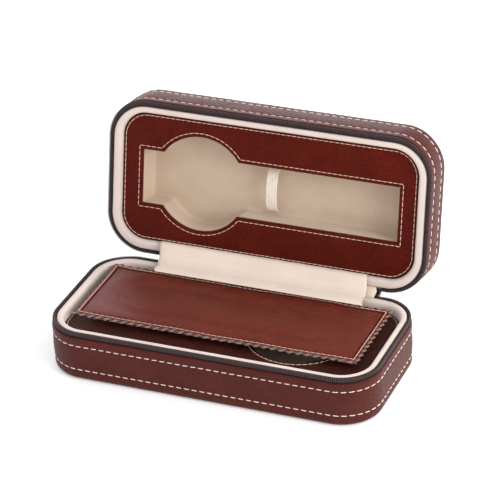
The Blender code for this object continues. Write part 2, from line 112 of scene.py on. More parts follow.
class Finish:
    """A node material on the Principled shader, patterned by each piece's own coordinates."""

    def __init__(self, name):
        self.material = bpy.data.materials.new(name)
        self.material.use_nodes = True
        self.tree = self.material.node_tree
        self.shader = self.tree.nodes["Principled BSDF"]
        self.place = self.node("ShaderNodeTexCoord").outputs["Object"]

    def node(self, kind, settings=None, **inputs):
        made = self.tree.nodes.new(kind)
        for key, value in (settings or {}).items():
            setattr(made, key, value)
        for key, value in inputs.items():
            self.feed(made.inputs[key.replace("_", " ")], value)
        return made

    def feed(self, socket, value):
        if isinstance(value, bpy.types.NodeSocket):
            self.tree.links.new(value, socket)
        else:
            socket.default_value = value

    def stretched(self, scale):
        return self.node("ShaderNodeMapping", Vector=self.place, Scale=scale).outputs["Vector"]

    def noise(self, scale, detail=2.0, rough=0.5, place=None):
        made = self.node(
            "ShaderNodeTexNoise", Vector=place or self.place, Scale=scale, Detail=detail, Roughness=rough
        )
        return made.outputs["Fac"]

    def cells(self, scale, place=None):
        settings = {"feature": "DISTANCE_TO_EDGE"}
        made = self.node("ShaderNodeTexVoronoi", settings, Vector=place or self.place, Scale=scale)
        return made.outputs["Distance"]

    def spread(self, value, low, high, new_low=0.0, new_high=1.0):
        made = self.node("ShaderNodeMapRange", Value=value)
        for key, number in (("From Min", low), ("From Max", high), ("To Min", new_low), ("To Max", new_high)):
            made.inputs[key].default_value = number
        return made.outputs["Result"]

    def mix(self, share, first, second):
        made = self.node("ShaderNodeMix", {"data_type": "RGBA"})
        for index, value in ((0, share), (6, first), (7, second)):
            self.feed(made.inputs[index], value)
        return made.outputs[2]

    def add(self, first, second, share=1.0):
        made = self.node("ShaderNodeMath", {"operation": "MULTIPLY_ADD"})
        for index, value in enumerate((second, share, first)):
            self.feed(made.inputs[index], value)
        return made.outputs[0]

    def bump(self, height, strength, distance):
        made = self.node("ShaderNodeBump", Height=height, Strength=strength, Distance=distance)
        self.feed(self.shader.inputs["Normal"], made.outputs["Normal"])

    def set(self, **values):
        for key, value in values.items():
            self.feed(self.shader.inputs[key.replace("_", " ")], value)
        return self.material


def rgb(red, green, blue):
    return (red, green, blue, 1.0)


def leather(name, dark, light, crease, grain, rough, shine=0.12, streak=(1, 1, 1), relief=0.0004):
    """Glossy grained leather: small pebbles with darker creases, on a mottled ground."""
    finish = Finish(name)
    along = finish.stretched(streak)
    pebble = finish.cells(grain, place=along)
    raised = finish.spread(pebble, 0.0, 0.26)
    fine = finish.noise(grain * 2.6, 3.0, 0.6, along)
    mottle = finish.noise(60.0, 5.0, 0.65)
    ground = finish.mix(finish.spread(mottle, 0.32, 0.68), rgb(*dark), rgb(*light))
    colour = finish.mix(finish.spread(raised, 0.0, 1.0, 0.45, 1.0), rgb(*crease), ground)
    finish.bump(finish.add(raised, fine, 0.6), 0.75, relief)
    gloss = finish.spread(finish.add(mottle, fine, 0.35), 0.3, 0.95, rough - 0.05, rough + 0.10)
    return finish.set(
        Base_Color=colour, Roughness=gloss, Specular_IOR_Level=shine, Coat_Weight=0.02, Coat_Roughness=0.30
    )


def velvet(name, dark, light, pile=2400.0, sheen=0.35):
    """Short-pile lining: a fine nap with soft patches where it lies another way."""
    finish = Finish(name)
    patch = finish.noise(55.0, 3.0, 0.55)
    nap = finish.noise(pile, 2.0, 0.7)
    colour = finish.mix(finish.spread(finish.add(patch, nap, 0.35), 0.35, 0.95), rgb(*dark), rgb(*light))
    finish.bump(finish.add(nap, patch, 1.2), 0.35, 0.00025)
    rough = finish.spread(patch, 0.3, 0.7, 0.86, 0.97)
    return finish.set(
        Base_Color=colour, Roughness=rough, Specular_IOR_Level=0.2, Sheen_Weight=sheen, Sheen_Roughness=0.45
    )


def woven(name, dark, light, across=1500.0, rough=0.75):
    """Tightly woven cloth or twisted thread: two sets of fine ribs."""
    finish = Finish(name)
    warp = finish.noise(across, 1.0, 0.5, finish.stretched((1.0, 0.25, 0.25)))
    weft = finish.noise(across, 1.0, 0.5, finish.stretched((0.25, 1.0, 1.0)))
    ribs = finish.add(warp, weft)
    colour = finish.mix(finish.spread(ribs, 0.7, 1.3), rgb(*dark), rgb(*light))
    finish.bump(ribs, 0.4, 0.0002)
    return finish.set(Base_Color=colour, Roughness=finish.spread(ribs, 0.7, 1.3, rough + 0.08, rough - 0.05))


def moulded(name, dark, light, rough=0.42, metallic=0.0, pitch=900.0):
    """Moulded plastic, cast metal, board or foam: slight unevenness in colour and surface."""
    finish = Finish(name)
    uneven = finish.noise(pitch, 4.0, 0.65)
    colour = finish.mix(finish.spread(uneven, 0.3, 0.7), rgb(*dark), rgb(*light))
    finish.bump(uneven, 0.15, 0.0001)
    gloss = finish.spread(uneven, 0.3, 0.7, rough - 0.06, rough + 0.08)
    return finish.set(Base_Color=colour, Roughness=gloss, Metallic=metallic)


OUTER_LEATHER = leather(
    "outer_leather", (0.078, 0.011, 0.007), (0.112, 0.019, 0.013), (0.038, 0.006, 0.004), 850, 0.36, 0.12,
    relief=0.0006,
)
FLAP_LEATHER = leather(
    "flap_leather", (0.132, 0.012, 0.003), (0.172, 0.020, 0.006), (0.080, 0.008, 0.003), 1050, 0.26, 0.22
)
PANEL_LEATHER = leather(
    "panel_leather", (0.082, 0.0050, 0.0010), (0.120, 0.0090, 0.0020), (0.034, 0.002, 0.001), 900, 0.28, 0.07,
    (0.45, 1, 1),
)
# Painted shade: a darker copy of the panel leather. It is used for the base's insert panel and the flap's
# lower margin, which lie in shade.
PAINTED_SHADE_LEATHER = leather(
    "base_panel_painted_shade_leather", (0.034, 0.0045, 0.0022), (0.052, 0.0080, 0.0040), (0.012, 0.002, 0.001), 900, 0.30,
    0.13, (0.45, 1, 1),
)
WELL_VELVET = velvet("well_velvet", (0.48, 0.365, 0.265), (0.56, 0.44, 0.335))
LINING_VELVET = velvet("lining_velvet", (0.68, 0.555, 0.465), (0.75, 0.63, 0.54))
LEDGE_CLOTH = velvet("ledge_cloth", (0.59, 0.49, 0.44), (0.66, 0.56, 0.51), 3200.0, 0.25)
LOOP_CLOTH = woven("loop_cloth", (0.66, 0.56, 0.48), (0.76, 0.67, 0.58), 1800.0, 0.80)
WALL_THREAD = woven("wall_thread", (0.66, 0.51, 0.43), (0.80, 0.66, 0.57), 2600.0, 0.62)
THREAD = woven("panel_thread", (0.60, 0.40, 0.31), (0.74, 0.54, 0.44), 2600.0, 0.62)
TAPE_CLOTH = woven("zipper_tape", (0.010, 0.004, 0.006), (0.024, 0.010, 0.012), 1500.0, 0.80)
TEETH_NYLON = moulded("zipper_teeth", (0.034, 0.016, 0.018), (0.062, 0.034, 0.036), 0.50)
BOARD_GREY = moulded("grey_board", (0.24, 0.22, 0.19), (0.33, 0.31, 0.27), 0.85)
FOAM_PALE = moulded("pale_foam", (0.58, 0.55, 0.48), (0.70, 0.67, 0.60), 0.90)
RAW_EDGE = moulded("raw_edge", (0.32, 0.24, 0.22), (0.46, 0.37, 0.34), 0.80)
DARK_METAL = moulded("dark_metal", (0.10, 0.09, 0.085), (0.16, 0.145, 0.13), 0.32, 1.0, 400.0)


# ---------------------------------------------------------------- shared shapes


def rework(mesh, change=None):
    """Changes a mesh, if a change is given, and turns its faces outwards."""
    work = bmesh.new()
    work.from_mesh(mesh)
    if change:
        change(work)
    bmesh.ops.recalc_face_normals(work, faces=work.faces)
    work.to_mesh(mesh)
    work.free()


def add_object(name, points, faces, finish, matrix=None):
    """A mesh object with its faces turned outwards."""
    mesh = bpy.data.meshes.new(name)
    mesh.from_pydata([tuple(p) for p in points], [], faces)
    if matrix is not None:
        mesh.transform(matrix)
    rework(mesh)
    shade(mesh, True)
    mesh.materials.append(finish)
    made = bpy.data.objects.new(name, mesh)
    bpy.context.scene.collection.objects.link(made)
    return made


def shade(mesh, smooth):
    mesh.polygons.foreach_set("use_smooth", [smooth] * len(mesh.polygons))


def add_caps(faces, start, count, rings):
    """Closes both ends of a run of rings that starts at point start."""
    last = start + (rings - 1) * count
    faces.append([start + n for n in range(count)])
    faces.append([last + n for n in range(count)][::-1])


def grid_faces(rings, count, closed_rings, closed_count):
    """Quads over rings of points that are numbered one ring after another."""
    faces = []
    for ring in range(rings if closed_rings else rings - 1):
        here, there = ring * count, (ring + 1) % rings * count
        for n in range(count if closed_count else count - 1):
            after = (n + 1) % count
            faces.append((here + n, here + after, there + after, there + n))
    return faces


def wobble(x, y, z, size, amount):
    """Smooth unevenness, the same each run."""
    return amount * noise.noise(Vector((x / size, y / size, z / size)))


def rim_stations(half_x, half_y, spacing):
    """Points round the outline from the middle of its rear: each (x, y, outward x, outward y, distance)."""
    long, short = half_x - CORNER_RADIUS, half_y - CORNER_RADIUS
    quarter = CORNER_RADIUS * math.pi / 2
    legs = [
        (long, (0, half_y), (-1, 0)),
        (quarter, (-long, short), math.pi / 2),
        (2 * short, (-half_x, short), (0, -1)),
        (quarter, (-long, -short), math.pi),
        (2 * long, (-long, -half_y), (1, 0)),
        (quarter, (long, -short), -math.pi / 2),
        (2 * short, (half_x, -short), (0, 1)),
        (quarter, (long, short), 0.0),
        (long, (long, half_y), (-1, 0)),
    ]
    total = sum(leg[0] for leg in legs)
    count = round(total / spacing)
    stations = []
    for n in range(count):
        distance = left = total * n / count
        for length, start, way in legs:
            if left <= length:
                break
            left -= length
        if isinstance(way, tuple):
            normal = (way[1], -way[0])
            x, y = start[0] + way[0] * left, start[1] + way[1] * left
        else:
            turn = way + left / CORNER_RADIUS
            normal = (math.cos(turn), math.sin(turn))
            x, y = start[0] + CORNER_RADIUS * normal[0], start[1] + CORNER_RADIUS * normal[1]
        stations.append((x, y, *normal, distance))
    return stations, total


def keyhole_runs(side, grow, step=1.6 * MM):
    """The well's outline moved out by grow: its straight and round stretches in order, as lists of points."""
    half, radius = SLOT_HALF + grow, CIRCLE_RADIUS + grow
    meet = math.asin(half / radius)
    near, far = -SLOT_NEAR - grow, SLOT_FAR + grow
    neck = radius * math.cos(meet)

    def line(start, end):
        count = max(2, round(math.dist(start, end) / step))
        return [(start[0] + (end[0] - start[0]) * n / count, start[1] + (end[1] - start[1]) * n / count)
                for n in range(count + 1)]

    def arc(start, end):
        count = round(CIRCLE_RADIUS * (end - start) / step)
        turns = [start + (end - start) * n / count for n in range(count + 1)]
        return [(-CIRCLE_X + radius * math.cos(t), radius * math.sin(t)) for t in turns]

    runs = [
        line((far, -half), (far, half)),
        line((far, half), (-CIRCLE_X + neck, half)),
        arc(meet, math.pi - meet),
        line((-CIRCLE_X - neck, half), (near, half)),
        line((near, half), (near, -half)),
        line((near, -half), (-CIRCLE_X - neck, -half)),
        arc(math.pi + meet, 2 * math.pi - meet),
        line((-CIRCLE_X + neck, -half), (far, -half)),
    ]
    if side > 0:
        runs = [[(-x, y) for x, y in reversed(run)] for run in reversed(runs)]
    return runs


RUN_COUNTS = [len(run) for run in keyhole_runs(-1, 0)]


def keyhole_loop(side, grow):
    """The same outline as one loop, with the same number of points whatever grow is."""
    counts = RUN_COUNTS if side < 0 else RUN_COUNTS[::-1]
    loop = []
    for run, count in zip(keyhole_runs(side, grow), counts):
        points = np.array(run)
        at = np.linspace(0, len(run) - 1, count)
        resampled = np.stack([np.interp(at, range(len(run)), points[:, axis]) for axis in (0, 1)], 1)
        loop += [tuple(p) for p in resampled[:-1]]
    return loop


def keyhole_distance(side, x, y):
    """How far a point is outside the well's outline; negative inside it."""
    x = -x if side > 0 else x
    middle, half = (SLOT_FAR - SLOT_NEAR) / 2, (SLOT_FAR + SLOT_NEAR) / 2
    window = math.hypot(x + CIRCLE_X, y) - CIRCLE_RADIUS
    slot = max(abs(x - middle) - half, abs(y) - SLOT_HALF)
    return min(window, slot)


def stitches(name, places, length, radius, lift, matrix=None, thread=THREAD, parts=7, sides=6):
    """Thread bars, one at each place (point, along, out), that rise from one hole and sink into the next."""
    points, faces = [], []
    for point, along, out in places:
        across = along.cross(out).normalized()
        start = len(points)
        for n in range(parts):
            u = 2 * n / (parts - 1) - 1
            centre = point + along * (u * length / 2) + out * (lift * (1 - 1.9 * u**4))
            size = radius * (1 - 0.25 * u**4)
            for turn in range(sides):
                angle = 2 * math.pi * turn / sides
                points.append(centre + (across * math.cos(angle) * 1.15 + out * math.sin(angle)) * size)
        faces += [[start + n for n in face] for face in grid_faces(parts, sides, False, True)]
        add_caps(faces, start, sides, parts)
    return add_object(name, points, faces, thread, matrix=matrix)


def along_run(run, pitch):
    """Evenly spaced places along a stretch of points: each (x, y, along x, along y)."""
    points = np.array(run)
    steps = np.hypot(*np.diff(points, axis=0).T)
    reach = np.concatenate([[0], np.cumsum(steps)])
    count = max(1, round(reach[-1] / pitch))
    found = []
    for n in range(count):
        at = [reach[-1] * (n + share) / count for share in (0.5, 0.35, 0.65)]
        (x, y), (x0, y0), (x1, y1) = [
            (np.interp(a, reach, points[:, 0]), np.interp(a, reach, points[:, 1])) for a in at
        ]
        span = math.hypot(x1 - x0, y1 - y0)
        found.append((x, y, (x1 - x0) / span, (y1 - y0) / span))
    return found


def boundary(outlines, extra=()):
    """The points of closed outlines, with any extra ones, and the edges along the outlines."""
    points, edges = [], []
    for outline in outlines:
        start, count = len(points), len(outline)
        points += [Vector(p) for p in outline]
        edges += [(start + n, start + (n + 1) % count) for n in range(count)]
    return points + [Vector(p) for p in extra], edges


def triangles_within(points, edges, keep):
    """A triangulation's points, and its triangles whose middle keep accepts."""
    verts, _, faces, *_ = delaunay_2d_cdt(points, edges, [], 0, 1e-6)
    inside = []
    for face in faces:
        x = sum(verts[n].x for n in face) / 3
        y = sum(verts[n].y for n in face) / 3
        if keep(x, y) > 0:
            inside.append(tuple(face))
    return [(v.x, v.y) for v in verts], inside


def filled(outline, spacing, keep):
    """Triangles over the area that keep accepts, bounded by an outline, with a grid of points inside."""
    points, edges = boundary([outline])
    xs = [p.x for p in points]
    ys = [p.y for p in points]
    for i in range(1, int((max(xs) - min(xs)) / spacing)):
        for j in range(1, int((max(ys) - min(ys)) / spacing)):
            x, y = min(xs) + (i + 0.5 * (j % 2)) * spacing, min(ys) + j * spacing
            if keep(x, y) > spacing * 0.7:
                points.append(Vector((x, y)))
    return triangles_within(points, edges, keep)


def slab(name, flat, faces, top, bottom, finish, matrix):
    """A closed sheet from one triangulation: its upper face at top(x, y), its lower face at depth bottom."""
    count = len(flat)
    points = [(x, y, top(x, y)) for x, y in flat] + [(x, y, bottom) for x, y in flat]
    edges = [pair for face in faces for pair in zip(face, face[1:] + face[:1])]
    shared = set(edges)
    shell = list(faces) + [tuple(n + count for n in reversed(face)) for face in faces]
    shell += [(b, a, a + count, b + count) for a, b in edges if (b, a) not in shared]
    used = sorted({n for face in shell for n in face})
    order = {n: place for place, n in enumerate(used)}
    shell = [tuple(order[n] for n in face) for face in shell]
    return add_object(name, [points[n] for n in used], shell, finish, matrix=matrix)


# ---------------------------------------------------------------- the two halves


class Half:
    """The base or the lid. depth(), x and y are in the half's own coordinates."""

    def __init__(self, body, matrix, window_side):
        self.body = body
        self.matrix = matrix
        self.side = window_side
        # The base's insert panel takes the darker copy of the panel leather, which is painted shade; the
        # lid's panel takes the plain panel leather.
        self.insert_finish = PAINTED_SHADE_LEATHER if body == "base" else PANEL_LEATHER
        low, high = self.local_box("leather_cover")
        self.half_x, self.half_y = high.x, high.y
        self.leather_top, self.height = low.z, high.z
        self.stations, self.around = rim_stations(self.half_x, self.half_y, WALL_PITCH / 4)
        self.panel = self.local_box("insert_leather")[0].z
        self.panel_inset = self.half_y - self.local_box("insert_leather")[1].y
        self.ledge_inner = self.half_y - self.inner_half_y("rim_lining")
        self.ledge_outer = self.half_y - self.local_box("rim_lining")[1].y
        self.ledge_top = self.local_box("rim_lining")[0].z
        self.well_top = self.local_box("well_liner")[0].z
        self.well_floor = self.local_box("well_liner")[1].z - LINER_THICKNESS

    def node(self, name):
        return f"{self.body}_{name}"

    def local_box(self, name):
        """The lowest and highest corner of one of the half's CAD nodes, in the half's coordinates."""
        points = np.array(self.local_points(name))
        return Vector(points.min(0)), Vector(points.max(0))

    def local_points(self, name):
        back = self.matrix.inverted()
        return [back @ v.co for v in frame["nodes"][self.node(name)].data.vertices]

    def inner_half_y(self, name):
        """Half the width of the opening inside a CAD node that runs round the rim."""
        straight = self.half_x - CORNER_RADIUS + MM
        return min(abs(p.y) for p in self.local_points(name) if abs(p.x) < straight)

    def finish_piece(self, made, slot, *replaced):
        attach(made, self.body)
        if replaced:
            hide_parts(*[self.node(name) for name in replaced])
        return made

    def swept_points(self, stations, profile, shift=None):
        """A row of (inset, depth) points at each station; shift gives a point its own inset and depth."""
        points = []
        for x, y, nx, ny, s in stations:
            for n, (inset, depth) in enumerate(profile):
                if shift:
                    inset, depth = shift((nx, ny, s), inset, depth, n)
                points.append((x - nx * inset, y - ny * inset, depth))
        return points

    def sweep(self, name, stations, profile, finish, closed_path=True, shift=None):
        """A closed section of (inset, depth) points carried round the rim."""
        points = self.swept_points(stations, profile, shift)
        count = len(profile)
        faces = grid_faces(len(stations), count, closed_path, True)
        if not closed_path:
            add_caps(faces, 0, count, len(stations))
        return add_object(f"{self.body}_{name}", points, faces, finish, matrix=self.matrix)

    def build(self):
        self.leather_cover()
        self.wall_stitches()
        self.zipper()
        self.rim_lining()
        self.insert_leather()
        self.well_liner()
        self.watch_loop()
        paint(self.node("board_tray"), BOARD_GREY)
        paint(self.node("insert_board"), BOARD_GREY)
        paint(self.node("foam_block"), FOAM_PALE)

    # leather shell

    def wall_inset(self, depth, s, ny):
        """How far in from the nominal wall the leather lies: it swells between its rows of stitches."""
        upper, lower = STITCH_ROWS[self.body]
        inset = 0.0
        if depth < upper:
            share = (depth - self.leather_top) / (upper - self.leather_top)
            inset -= 0.22 * MM * math.sin(math.pi * max(0.0, share))
        elif depth < lower:
            inset -= 0.30 * MM * math.sin(math.pi * (depth - upper) / (lower - upper))
        for row in (upper, lower):
            pull = 0.34 + 0.10 * math.cos(2 * math.pi * s / self.stitch_pitch())
            inset += pull * MM * math.exp(-(((depth - row) / (0.75 * MM)) ** 2))
        if self.body == "lid":
            reach = max(0.0, (depth - upper) / (lower - upper))
            inset -= LID_FRONT_SWELL * min(1.0, reach) * max(0.0, -ny) ** 2
        return inset + wobble(s, depth, self.side, 16 * MM, 0.10 * MM)

    def stitch_pitch(self):
        return self.around / round(self.around / WALL_PITCH)

    def leather_cover(self):
        top, wall_foot = self.leather_top, self.height - FOOT_RADIUS
        crown = 0.0 if self.body == "base" else LID_CROWN
        rim = ((1.25, 1.2), (1.20, 0.35), (1.02, 0.10), (0.80, 0.0), (0.55, 0.02), (0.34, 0.12), (0.18, 0.32))
        profile = [(inset * MM, top + depth * MM) for inset, depth in rim]
        for depth in np.arange(top + 0.7 * MM, wall_foot - 0.2 * MM, 0.62 * MM):
            profile.append((0.0, depth))
        wall = range(len(rim), len(profile))
        for n in range(9):
            turn = math.pi / 2 * n / 8
            profile.append((FOOT_RADIUS * (1 - math.cos(turn)), wall_foot + FOOT_RADIUS * math.sin(turn)))
        for inset in (5, 7, 10, 14, 18, 22):
            rise = crown * math.sin(math.pi / 2 * (inset - 4) / 18)
            profile.append((inset * MM, self.height + rise))
        outer = len(profile)
        for inset in (22, 5.6):
            profile.append((inset * MM, self.height - COVER_THICKNESS))
        profile.append((1.25 * MM, wall_foot))

        def swollen(station, inset, depth, n):
            return self.wall_inset(depth, station[2], station[1]) if n in wall else inset, depth

        points = self.swept_points(self.stations, profile, swollen)
        count, rings = len(profile), len(self.stations)
        faces = [
            face for face in grid_faces(rings, count, True, True)
            if not {outer - 1, outer} <= {n % count for n in face}
        ]
        faces.append([ring * count + outer - 1 for ring in range(rings)])
        faces.append([ring * count + outer for ring in range(rings)][::-1])
        name = self.node("leather_shell")
        made = add_object(name, points, faces, OUTER_LEATHER, matrix=self.matrix)
        self.finish_piece(made, "brown_leather", "leather_cover")

    def wall_stitches(self):
        places = []
        pitch = self.stitch_pitch()
        stations, _ = rim_stations(self.half_x, self.half_y, pitch)
        for x, y, nx, ny, s in stations:
            for row, depth in enumerate(STITCH_ROWS[self.body]):
                inset = self.wall_inset(depth, s, ny) - 0.05 * MM
                slant = 0.05 * (1 if row else -1) + wobble(s, row, self.side, 9 * MM, 0.05)
                along = Vector((-ny, nx, slant)).normalized()
                places.append((Vector((x - nx * inset, y - ny * inset, depth)), along, Vector((nx, ny, 0))))
        made = stitches(self.node("wall_stitches"), places, WALL_STITCH, THREAD_RADIUS * 1.1, 0.20 * MM,
                        self.matrix, WALL_THREAD)
        self.finish_piece(made, "brown_leather")

    # zipper

    def zipper_stations(self, spacing):
        """Stations along the zipper, which leaves out the stretch that the spine takes."""
        rear = self.half_y - 4 * MM
        on_rear = [p.x for p in self.local_points("zipper_tape") if p.y > rear]
        left = max(x for x in on_rear if x < 0)
        right = min(x for x in on_rear if x > 0)
        stations, _ = rim_stations(self.half_x, self.half_y, spacing)
        return [p for p in stations if not (p[1] > self.half_y - MM and left < p[0] < right)]

    def zipper(self):
        """A tape that stands inside the leather's edge, with the coil over its top and outer face."""
        stations = self.zipper_stations(1.2 * MM)
        edge = self.leather_top
        section = [(1.40 * MM, edge + 1.5 * MM), (1.32 * MM, edge + 0.2 * MM), (1.15 * MM, edge - 0.4 * MM)]
        for inset, depth in ((0.95, 1.2), (1.15, 0.80), (1.70, 0.68), (2.25, 0.75), (2.50, 1.1)):
            section.append((inset * MM, depth * MM))
        section += [(2.56 * MM, edge), (2.56 * MM, edge + 1.5 * MM)]
        made = self.sweep("zipper_tape_cloth", stations, section, TAPE_CLOTH, False, self.lean)
        self.finish_piece(made, "zipper_tape_cloth", "zipper_tape")
        bead = []
        for n in range(8):
            turn = 2 * math.pi * n / 8
            bead.append((2.42 * MM + 0.20 * MM * math.cos(turn), 0.72 * MM + 0.24 * MM * math.sin(turn)))
        made = self.sweep("zipper_edge_cord", stations, bead, TAPE_CLOTH, False, self.lean)
        self.finish_piece(made, "zipper_tape_cloth")
        self.zipper_coil()

    def lean(self, station, inset, depth, n):
        return inset + self.set_back(station[1], inset), depth

    def set_back(self, ny, inset):
        """How the lid's zipper spreads: out past the leather, and in over the lining along the front."""
        if self.body == "base":
            return 0.0
        outer = max(0.0, min(1.0, (1.9 * MM - inset) / (1.2 * MM)))
        inner = max(0.0, min(1.0, (inset - 1.2 * MM) / (1.2 * MM)))
        fade = max(0.0, min(1.0, (self.ledge_inner - inset) / (4 * MM)))
        front = max(0.0, -ny) ** 2
        flare = LID_ZIP_FLARE * (1 - front) * (1 - max(0.0, ny) ** 2)
        return LID_ZIP_LEAN * front * inner * fade - flare * outer

    def zipper_coil(self):
        """One rounded bar for each turn of the coil: up the tape's outer face and over its top."""
        foot = self.leather_top - 0.75 * MM
        middle = (foot + 0.7 * MM) / 2
        spine = [
            (0.80 * MM, foot, 0.20 * MM),
            (0.62 * MM, foot - 0.3 * MM, 0.30 * MM),
            (0.58 * MM, middle, 0.32 * MM),
        ]
        for inset, depth, size in (
            (0.62, 0.70, 0.34), (0.88, 0.36, 0.34), (1.35, 0.28, 0.32), (1.80, 0.38, 0.28), (2.02, 0.66, 0.20)
        ):
            spine.append((inset * MM, depth * MM, size * MM))
        sides = 6
        points, faces = [], []
        for x, y, nx, ny, s in self.zipper_stations(TEETH_PITCH):
            start = len(points)
            for n, (inset, depth, size) in enumerate(spine):
                ahead, behind = spine[min(n + 1, len(spine) - 1)], spine[max(n - 1, 0)]
                way = Vector((ahead[0] - behind[0], ahead[1] - behind[1])).normalized()
                for side in range(sides):
                    turn = 2 * math.pi * side / sides
                    along = math.cos(turn) * size
                    across = inset + self.set_back(ny, inset) + way.y * math.sin(turn) * size
                    sunk = depth - way.x * math.sin(turn) * size
                    points.append((x - nx * across - ny * along, y - ny * across + nx * along, sunk))
            faces += [[start + n for n in face] for face in grid_faces(len(spine), sides, False, True)]
            add_caps(faces, start, sides, len(spine))
        made = add_object(self.node("zipper_coil"), points, faces, TEETH_NYLON, matrix=self.matrix)
        self.finish_piece(made, "zipper_teeth_nylon", "zipper_teeth")

    # linings

    def rim_lining(self):
        foot = self.panel + 1.6 * MM
        outer, inner, top = self.ledge_outer, self.ledge_inner, self.ledge_top
        section = [(outer + 0.15 * MM, top + 2.4 * MM), (outer + 0.04 * MM, top + 1.3 * MM)]
        for across, sink in ((0.12, 0.62), (0.4, 0.28), (0.9, 0.1), (1.5, 0.02)):
            section.append((outer + across * MM, top + sink * MM))
        rounding = ((2.1, 0.0), (1.5, 0.1), (1.0, 0.32), (0.6, 0.66), (0.28, 1.2), (0.08, 2.0), (0.0, 2.8))
        for across, sink in rounding:
            section.append((inner - across * MM, top + sink * MM))
        section += [(inner + 0.05 * MM, depth) for depth in np.linspace(top + 3.4 * MM, foot, 4)]
        section += [(inner - MM, foot + 0.3 * MM), (outer + 0.8 * MM, foot + 0.3 * MM)]
        section.append((outer + 0.3 * MM, foot))

        def soft(station, inset, depth, n):
            if 1 < n < 15:
                swell = wobble(station[2], inset, self.side * 3, 11 * MM, 0.11 * MM)
                depth += swell
                inset += 0.6 * swell
            return inset + self.set_back(station[1], inset), depth

        made = self.sweep("ledge_padding", self.stations, section, LEDGE_CLOTH, shift=soft)
        self.finish_piece(made, "cream_fabric", "rim_lining")

    def panel_surface(self, edge, seam):
        """How deep the leather's face lies at a distance from its nearest edge, with a seam along it."""
        radius = 0.9 * MM
        sink = 0.0
        if edge < radius:
            sink += radius - math.sqrt(max(0.0, radius**2 - (radius - edge) ** 2))
        sink += 0.25 * MM * math.exp(-(((edge - seam) / (0.5 * MM)) ** 2))
        if edge > seam:
            sink -= 0.28 * MM * (1 - math.exp(-(edge - seam) / (3.5 * MM)))
        return self.panel + sink

    def panel_depth(self, x, y):
        rim, well = self.rim_distance(x, y), keyhole_distance(self.side, x, y)
        if rim < well:
            return self.panel_surface(max(0.0, rim), RIM_STITCH)
        return self.panel_surface(max(0.0, well), KEYHOLE_STITCH)

    def rim_distance(self, x, y):
        """Distance in from the insert panel's outer edge; negative outside it."""
        reach_x, reach_y = self.half_x - self.panel_inset, self.half_y - self.panel_inset
        radius = CORNER_RADIUS - self.panel_inset
        qx, qy = abs(x) - reach_x + radius, abs(y) - reach_y + radius
        return radius - math.hypot(max(qx, 0), max(qy, 0)) - min(max(qx, qy), 0)

    def panel_edge(self, x, y):
        """Distance from the nearest edge of the insert panel; negative outside it."""
        return min(self.rim_distance(x, y), keyhole_distance(self.side, x, y))

    def rim_loop(self, inset, spacing):
        stations, _ = rim_stations(self.half_x, self.half_y, spacing)
        return [(x - nx * inset, y - ny * inset) for x, y, nx, ny, s in stations]

    def insert_leather(self):
        extra = []
        for step in (0.12, 0.35, 0.65, 1.0, 1.6, 2.1, 2.5, 2.9, 3.4, 4.2, 5.6):
            step *= MM
            ring = self.rim_loop(self.panel_inset + step, 2.2 * MM) + keyhole_loop(self.side, step)
            extra += [p for p in ring if abs(self.panel_edge(*p) - step) < 0.05 * MM]
        outlines = [self.rim_loop(self.panel_inset, 1.8 * MM), keyhole_loop(self.side, 0)]

        def open_area(x, y):
            edge = self.panel_edge(x, y)
            return edge if edge > 6.5 * MM else 0

        flat, faces = filled_panel(outlines, extra, self.panel_edge, open_area)
        made = slab(
            self.node("insert_leather_panel"), flat, faces, self.panel_depth, self.panel + PANEL_THICKNESS,
            self.insert_finish, self.matrix,
        )
        self.finish_piece(made, "red_brown_leather", "insert_leather")
        self.panel_stitches()

    def panel_stitches(self):
        depth = self.panel + 0.20 * MM
        out = Vector((0, 0, -1))
        loop = self.rim_loop(self.panel_inset + RIM_STITCH, 1.5 * MM)
        runs = [loop + loop[:1]] + keyhole_runs(self.side, KEYHOLE_STITCH)
        places = []
        for run in runs:
            for x, y, ax, ay in along_run(run, PANEL_PITCH):
                turn = wobble(x, y, 7, 5 * MM, 0.06)
                along = Vector((ax - ay * turn, ay + ax * turn, 0)).normalized()
                places.append((Vector((x, y, depth)), along, out))
        made = stitches(self.node("panel_stitches"), places, PANEL_STITCH, THREAD_RADIUS * 0.74, 0.16 * MM,
                        self.matrix)
        self.finish_piece(made, "red_brown_leather")

    def well_liner(self):
        """A cup: its wall as rings from the brim down, then its padded floor, then its underside."""
        top, floor = self.well_top, self.well_floor
        rings = [(1.15, top), (0.75, top - 0.1 * MM), (0.42, top + 0.15 * MM), (0.38, top + 1.5 * MM)]
        rings += [(0.38, top + (floor - top) * share) for share in (0.3, 0.5, 0.7)]
        rings += [(0.36, floor - 2.6 * MM), (0.18, floor - 1.6 * MM), (-0.35, floor - 0.75 * MM)]
        rings += [(-1.1, floor - 0.28 * MM), (-2.0, floor - 0.08 * MM)]
        points = []
        for grow, depth in rings:
            for x, y in keyhole_loop(self.side, grow * MM):
                points.append((x, y, depth + wobble(x, y, depth, 9 * MM, 0.10 * MM)))
        count = len(keyhole_loop(self.side, 0))
        faces = grid_faces(len(rings), count, False, True)
        self.well_padding(points, faces, (len(rings) - 1) * count, keyhole_loop(self.side, rings[-1][0] * MM))
        under = len(points)
        for x, y in keyhole_loop(self.side, rings[0][0] * MM):
            points.append((x, y, floor + 0.7 * MM))
        faces += [(n, (n + 1) % count, under + (n + 1) % count, under + n) for n in range(count)]
        faces.append([under + n for n in range(count)])
        made = add_object(self.node("well_lining"), points, faces, WELL_VELVET, matrix=self.matrix)
        self.finish_piece(made, "cream_velvet", "well_liner")

    def well_padding(self, points, faces, last, outline):
        """Adds the well's soft floor inside its lowest ring, whose points start at last."""
        def below_wall(x, y):
            return -2.0 * MM - keyhole_distance(self.side, x, y)

